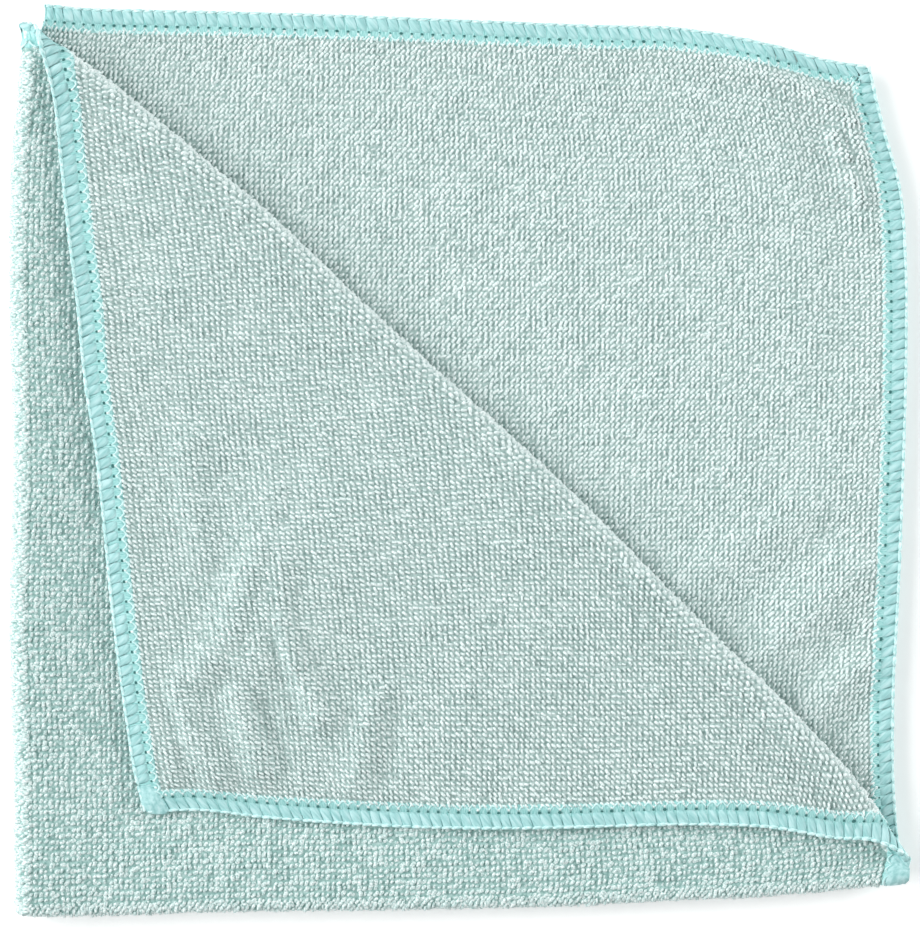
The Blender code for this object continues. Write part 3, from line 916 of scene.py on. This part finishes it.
def rim_chain_piece():
    """The chain on the rim: a short round bead of thread at each stitch, thinner at its ends.

    It slants inwards and up through the cloth, so that it lies over the next one.
    """
    t = np.linspace(-1, 1, 5)[None, :, None]
    angle = np.arange(5)[None, None, :] * 2 * np.pi / 5
    thick = BEAD_HALF_THICK * np.sqrt(1 - 0.8 * t**2) * uneven(0.1, EACH, 0.7, 1.3)
    s = STITCH_ALONG[:, None, None] + LEAN + BEAD_HALF_LONG * t
    depth = 0.12 + 0.14 * t + thick * np.cos(angle)
    w = -0.55 + 0.30 * t + thick * np.sin(angle)
    return tubes_piece("rim_chain", needle_thread, STITCH_SIDE, s, depth, w)


def sewn_on(*pieces):
    """Fixes pieces of the sewing to the cloth's body, and gives them back."""
    for piece in pieces:
        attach(piece, "root")
    return pieces


overlocking = sewn_on(band_piece(), bundles_piece(), rim_chain_piece())
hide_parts("edging")

# ---------------------------------------------------------------------------------------------
# The needle's line: the needle thread arches from hole to hole on both faces and holds the
# bundles down. On the plain face its holes show, and specks of white knit between the threads.

# A dark blue-green dot, as deep knit in shade looks.
hole_shade, _, hole_shader = new_material("needle hole, knit in deep shade", 1.0)
hole_shader.inputs["Base Color"].default_value = linear("3f706e")

# The arch's half length along the edge and its height in from the needle's line, and the
# thread's half width and half thickness.
ARCH_HALF_LONG, ARCH_HIGH = 1.2, 1.10
NEEDLE_HALF_WIDE, NEEDLE_HALF_THICK = 0.34, 0.28
# Half a hole's length along the edge and across it.
HOLE_HALF_LONG, HOLE_HALF_WIDE = 0.36, 0.26
# Holes stop this far from each corner, where the sewing turns, and specks this far. This share
# of the holes has a speck.
HOLES_STOP, SPECKS_STOP = 4.6, 6.0
SPECKS_SHARE = 0.85


def needle_piece(face):
    """The needle thread by each hole that shows: a half cosine arch, in from the needle's line."""
    t = np.linspace(-1, 1, 6)[None, :, None]
    angle = np.arange(4)[None, None, :] * np.pi / 2
    s = STITCH_ALONG[STITCH_SHOWS][:, None, None] + ARCH_HALF_LONG * t
    depth = NEEDLE_DEPTH + 0.45 + ARCH_HIGH * np.cos(t * np.pi / 2)
    depth = depth + NEEDLE_HALF_WIDE * np.cos(angle)
    w = face * (0.82 + NEEDLE_HALF_THICK * np.sin(angle))
    name = "needle_thread_looped_face" if face > 0 else "needle_thread_plain_face"
    return tubes_piece(name, needle_thread, STITCH_SIDE[STITCH_SHOWS], s, depth, w)


def holes_piece():
    """The needle holes that show: a small dark oval of six points where each two bundles part,
    painted shade for the deep hole.
    """
    angle = np.arange(6)[None, :] * np.pi / 3
    keep = STITCH_SHOWS & (np.abs(STITCH_ALONG + STITCH / 2) < HALF - HOLES_STOP)
    along = STITCH_ALONG[keep][:, None] + STITCH / 2
    size = uneven(0.2, along.shape, 0.5, 1.5)
    s = along + HOLE_HALF_LONG * size * np.cos(angle)
    depth = NEEDLE_DEPTH - 0.05 + HOLE_HALF_WIDE * size * np.sin(angle)
    side = np.broadcast_to(STITCH_SIDE[keep][:, None], s.shape)
    points = by_side(side.ravel(), s.ravel(), depth.ravel(), np.full(s.size, -0.90))
    fan = np.array([(0, 2, 1), (0, 3, 2), (0, 4, 3), (0, 5, 4)])
    uv = np.stack([s.ravel(), depth.ravel()], 1) * MM
    return make_piece("needle_holes", points, many(fan, 6, len(along)), uv, [hole_shade])


def specks_piece():
    """The knit that shows white through the threads: a small hump of yarn inside most holes."""
    side, along = STITCH_SIDE[STITCH_SHOWS], STITCH_ALONG[STITCH_SHOWS] + STITCH / 2
    depth = NEEDLE_DEPTH + 0.62 + RNG.normal(0, 0.07, len(side))
    u, v = flat_place(side, np.clip(along, SPECKS_STOP - HALF, HALF - SPECKS_STOP), depth)
    keep = RNG.random(len(side)) < SPECKS_SHARE
    points, faces, uv = humps(
        u[keep], v[keep], -1, 0.92, 0.32, lean=0.04, wide=0.30, high=0.16, hook=1.4, varies=0.3
    )
    return make_piece("knit_through_threads", points, faces, uv, [stitch_yarn])


needlework = sewn_on(needle_piece(-1), needle_piece(1), holes_piece(), specks_piece())

# ---------------------------------------------------------------------------------------------
# The laps: where the sewing turns the free corner and runs round the bottom fold's end, its
# looper threads lie over each other in a smooth flat pad. They are the overlock's own thread.

# The four corners of each on the flat cloth. Columns: across, up.
CORNER_LAP = ((193.2, 200.3), (193.6, 196.0), (201.0, 193.6), (200.4, 200.4))
FOLD_END_LAP = ((195.2, -1.2), (195.4, 7.8), (200.8, 7.0), (200.8, -0.6))
# The power of its rounded square: 2 is round, and more is squarer.
LAP_SQUARE = 3.5


def lap_piece(name, corners, face):
    """A flat closed cushion of thread.

    Its rings are rounded squares that grow and shrink by a cosine from its top to its back, and
    they are carried to the four corners evenly each way.
    """
    steeps, angles = np.linspace(-1.5, 1.5, 13), np.arange(24) * np.pi / 12
    steep, angle = np.meshgrid(steeps, angles, indexing="ij")
    squared = np.abs(np.cos(angle)) ** LAP_SQUARE + np.abs(np.sin(angle)) ** LAP_SQUARE
    rounded = squared ** (-1 / LAP_SQUARE)
    a = 0.5 + 0.5 * np.cos(steep) * rounded * np.cos(angle)
    b = 0.5 + 0.5 * np.cos(steep) * rounded * np.sin(angle)
    corner = np.array(corners)[:, :, None, None]
    near, far = corner[0] * (1 - a) + corner[1] * a, corner[3] * (1 - a) + corner[2] * a
    u, v = near * (1 - b) + far * b
    w = face * (0.75 + 0.50 * np.sin(steep))
    points = fold(u.ravel(), v.ravel(), w.ravel())
    uv = np.stack([v.ravel() / 5, u.ravel()], 1) * MM
    return make_piece(name, points, tube_faces(*u.shape), uv, [bundle_thread])


laps = sewn_on(
    lap_piece("corner_lap", CORNER_LAP, -1), lap_piece("fold_end_lap", FOLD_END_LAP, 1)
)

# ---------------------------------------------------------------------------------------------
# The surface, lights and camera: a plain white sweep, a wide softbox at the left and a small one
# at the right, and a camera that looks straight down, as the photograph was taken.

FLOOR_HALF = 3.0


def floor_piece():
    """A flat square, level with the underside of the cloth."""
    corner = np.array([(-1, -1), (1, -1), (1, 1), (-1, 1)]) * FLOOR_HALF
    points = np.concatenate([corner, np.zeros((4, 1))], axis=1)
    # Even white, with a soft shadow and no sheen.
    material, _, shader = new_material("matt white studio sweep", 0.9)
    shader.inputs["Base Color"].default_value = linear("ffffff")
    shader.inputs["Emission Color"].default_value = linear("ffffff")
    shader.inputs["Emission Strength"].default_value = 0.12
    return make_piece("studio_floor", points, np.array([(0, 1, 2), (0, 2, 3)]), corner, [material])


floor_piece()


def soft_light(name, place, size, watts):
    """A square area light that faces the cloth."""
    data = bpy.data.lights.new(name, "AREA")
    data.size, data.energy = size, watts
    light = bpy.data.objects.new(name, data)
    light.location = place
    light.rotation_euler = (-Vector(place)).to_track_quat("-Z", "Y").to_euler()
    bpy.context.scene.collection.objects.link(light)


soft_light("left_softbox", (-1.3, 0.17, 0.95), size=1.5, watts=30.8)
soft_light("right_softbox", (1.22, 0.45, 0.6), size=0.8, watts=12.6)
world = bpy.data.worlds.new("studio")
world.use_nodes = True
background = world.node_tree.nodes["Background"]
background.inputs["Color"].default_value = linear("ffffff")
background.inputs["Strength"].default_value = 0.42
bpy.context.scene.world = world
bpy.context.scene.view_settings.view_transform = "Standard"

# The image's size in pixels, the photograph's pixels to a millimetre, and the pixel where the
# folded cloth's x and y start. The camera frames the image's height at LOOK_HIGH.
IMAGE = (920, 928)
PIXELS_PER_MM = 4.47
START_PIXEL = (10, 916)
LOOK_HIGH = 7.0
LENS, SENSOR = 100.0, 36.0
camera_data = bpy.data.cameras.new("studio_camera")
camera_data.lens, camera_data.sensor_width = LENS, SENSOR
camera = bpy.data.objects.new("studio_camera", camera_data)
look_x = (IMAGE[0] / 2 - START_PIXEL[0]) / PIXELS_PER_MM - MIDDLE[0]
look_y = (START_PIXEL[1] - IMAGE[1] / 2) / PIXELS_PER_MM - MIDDLE[1]
distance = IMAGE[1] / PIXELS_PER_MM * LENS / SENSOR
camera.location = (look_x * MM, look_y * MM, (LOOK_HIGH + distance) * MM)
bpy.context.scene.collection.objects.link(camera)
bpy.context.scene.camera = camera
